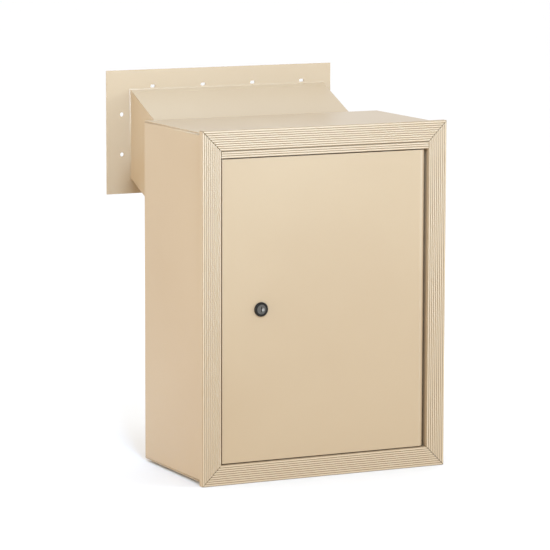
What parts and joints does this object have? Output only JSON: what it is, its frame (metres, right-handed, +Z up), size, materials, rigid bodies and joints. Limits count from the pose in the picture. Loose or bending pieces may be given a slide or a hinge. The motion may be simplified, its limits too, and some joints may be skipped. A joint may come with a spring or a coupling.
{
  "type": "mail drop box",
  "caption": "Locking through-wall mail drop box with a ribbed frame, a hinged door with a cam lock, and a sloping chute to a wall flange.",
  "frame": {"origin": "middle of the wall flange's upper row of slots, on the face that lies against the wall", "axes": "+X to the right seen from the front, +Y into the wall, +Z up"},
  "size_m": [0.398, 0.3415, 0.5742],
  "materials": {
    "sandstone_coat": "warm beige powder coat, fine satin texture",
    "lock_metal": "dark polished lock metal",
    "plated_steel": "zinc plated",
    "nylon": "natural nylon",
    "rubber": "matt black",
    "mill_aluminium": "mill finish"
  },
  "bodies": {
    "cabinet": {"back_panel": "sandstone_coat", "bottom_panel": "sandstone_coat", "bottom_rail": "sandstone_coat", "chute_bottom_panel": "sandstone_coat", "chute_left_panel": "sandstone_coat", "chute_right_panel": "sandstone_coat", "chute_rivets": "sandstone_coat", "chute_top_panel": "sandstone_coat", "corner_keys": "mill_aluminium", "door_bumpers": "rubber", "frame_rivets": "mill_aluminium", "header_screws": "plated_steel", "header_strip": "sandstone_coat", "left_rail": "sandstone_coat", "left_side_panel": "sandstone_coat", "lower_pivot_pin": "plated_steel", "right_rail": "sandstone_coat", "right_side_panel": "sandstone_coat", "top_panel": "sandstone_coat", "top_rail": "sandstone_coat", "upper_pivot_pin": "plated_steel", "wall_flange": "sandstone_coat"},
    "door": {"door_panel": "sandstone_coat", "door_stiffener": "sandstone_coat", "hinge_bushes": "nylon", "lock_housing": "lock_metal", "lock_nut": "plated_steel"},
    "lock_core": {"lock_plug": "lock_metal", "lock_cam": "plated_steel", "cam_washer": "plated_steel", "cam_screw": "plated_steel"}
  },
  "joints": [
    {"name": "door_hinge", "type": "hinge", "parent": "cabinet", "child": "door", "pos_m": [0.1525, -0.3255, -0.29695], "axis": [0, 0, 1], "range_deg": [0, 90]},
    {"name": "lock_turn", "type": "hinge", "parent": "door", "child": "lock_core", "pos_m": [-0.104, -0.3385, -0.2957], "axis": [0, 1, 0], "range_deg": [0, 90]}
  ]
}
